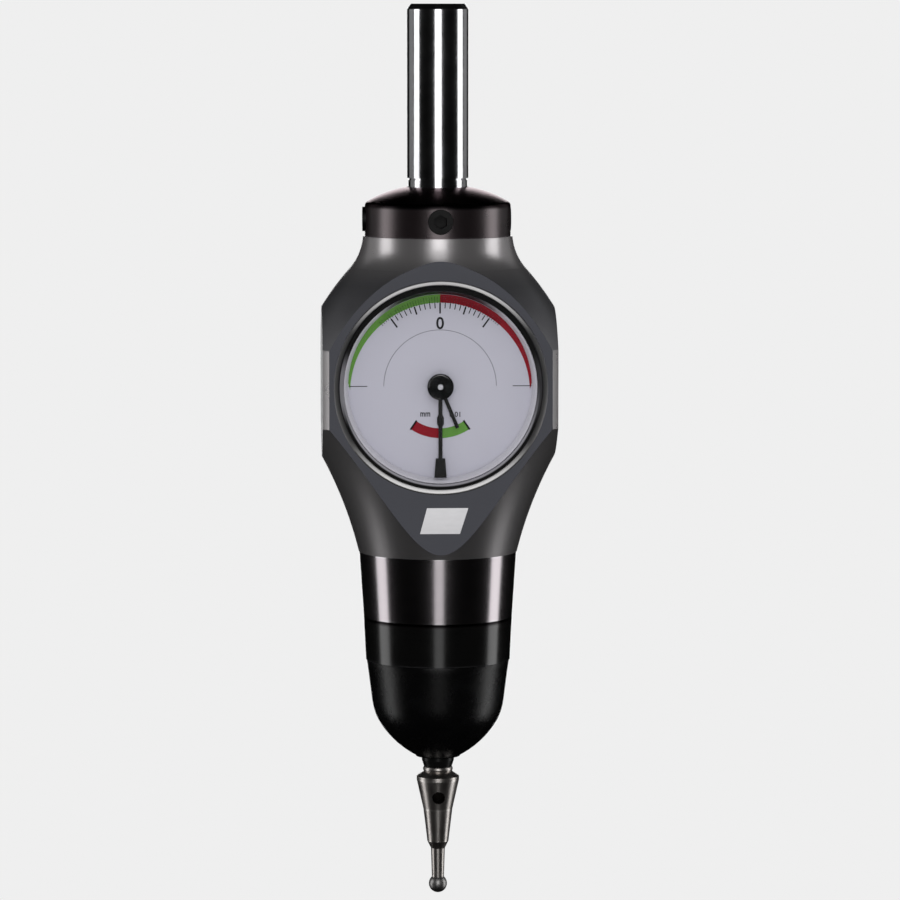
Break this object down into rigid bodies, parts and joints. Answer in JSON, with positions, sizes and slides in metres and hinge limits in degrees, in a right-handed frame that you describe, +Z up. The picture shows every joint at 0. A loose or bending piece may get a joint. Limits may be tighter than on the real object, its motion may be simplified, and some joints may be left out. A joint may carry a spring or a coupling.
{
  "type": "dial edge finder",
  "caption": "Spindle edge finder with a plain shank, a flat-sided housing with a two-pointer dial, a rubber boot and a ball-ended probe that lifts and tilts.",
  "frame": {"origin": "on the tool axis at the foot of the ground shank", "axes": "+Z up along the tool axis, out of the shank's free end; -Y out of the dial; +X to the right of someone who reads the dial"},
  "size_m": [0.038, 0.0264, 0.1463],
  "materials": {
    "ground_steel": "ground",
    "black_collar": "satin black",
    "blackened_steel": "blackened",
    "grey_anodised": "satin grey anodised",
    "gloss_black": "gloss black",
    "machined_steel": "machined",
    "black_rubber": "matte",
    "bronze": "machined",
    "spring_steel": "drawn",
    "black_plastic": "satin",
    "bright_steel": "turned",
    "polished_ball": "polished",
    "clear_window": "clear",
    "black_seal": "matte",
    "pale_ring": "satin",
    "dial_print": "printed, matte",
    "brass": "machined",
    "black_pointer": "matte black",
    "gloss_cap": "gloss black"
  },
  "bodies": {
    "housing": {"shank": "ground_steel", "collar": "black_collar", "adjusting_screws": "blackened_steel", "housing_body": "grey_anodised", "sleeve": "gloss_black", "clamp_ring": "gloss_black", "seat_ring": "machined_steel", "boot": "black_rubber", "upper_bush": "bronze", "lower_bush": "bronze", "return_spring": "spring_steel", "crystal": "clear_window", "crystal_seal": "black_seal", "spacer_ring": "pale_ring", "dial_plate": "dial_print", "front_plate": "brass", "rear_plate": "brass", "pillars": "brass", "support_posts": "brass", "plate_screws": "machined_steel", "counter_stud": "machined_steel", "hairspring": "spring_steel"},
    "plunger": {"plunger": "machined_steel", "spring_collar": "machined_steel", "upper_yoke": "machined_steel"},
    "cross": {"joint_cross": "machined_steel"},
    "probe": {"lower_yoke": "machined_steel", "probe_collar": "black_plastic", "probe_insert": "bright_steel", "probe_ball": "polished_ball"},
    "drive": {"rack_pinion": "machined_steel", "drive_wheel": "brass"},
    "pointer": {"centre_arbor": "machined_steel", "cannon_pinion": "brass", "collet": "brass", "long_pointer": "black_pointer", "hub_cap": "gloss_cap"},
    "counter": {"counter_wheel": "brass"},
    "count_pointer": {"hour_wheel": "brass", "short_pointer": "black_pointer"}
  },
  "joints": [
    {"name": "probe_lift", "type": "slide", "parent": "housing", "child": "plunger", "axis": [0, 0, 1], "range_m": [0, 0.0028], "stiffness_N_per_m": 600, "springref_m": -0.002, "deforming": ["return_spring", "boot"]},
    {"name": "tilt_x", "type": "hinge", "parent": "plunger", "child": "cross", "pos_m": [0, 0, -0.0899], "axis": [1, 0, 0], "range_deg": [-4.5, 4.5], "stiffness_Nm_per_rad": 0.08},
    {"name": "tilt_y", "type": "hinge", "parent": "cross", "child": "probe", "pos_m": [0, 0, -0.0899], "axis": [0, 1, 0], "range_deg": [-4.5, 4.5], "stiffness_Nm_per_rad": 0.08},
    {"name": "drive_turn", "type": "hinge", "parent": "housing", "child": "drive", "pos_m": [-0.0029, 0, -0.04043], "axis": [0, 1, 0], "range_deg": [-100.81, 0]},
    {"name": "pointer_turn", "type": "hinge", "parent": "housing", "child": "pointer", "pos_m": [0, 0, -0.0333], "axis": [0, 1, 0], "range_deg": [0, 1008.01]},
    {"name": "counter_turn", "type": "hinge", "parent": "housing", "child": "counter", "pos_m": [-0.0021, 0, -0.02966], "axis": [0, 1, 0], "range_deg": [-252.01, 0]},
    {"name": "count_pointer_turn", "type": "hinge", "parent": "housing", "child": "count_pointer", "pos_m": [0, 0, -0.0333], "axis": [0, 1, 0], "range_deg": [0, 42.01]}
  ],
  "couplings": [
    {"joint": "drive_turn", "follows": "probe_lift", "rad_per_m": -628.32},
    {"joint": "pointer_turn", "follows": "probe_lift", "rad_per_m": 6283.2},
    {"joint": "counter_turn", "follows": "probe_lift", "rad_per_m": -1570.8},
    {"joint": "count_pointer_turn", "follows": "probe_lift", "rad_per_m": 261.8}
  ]
}
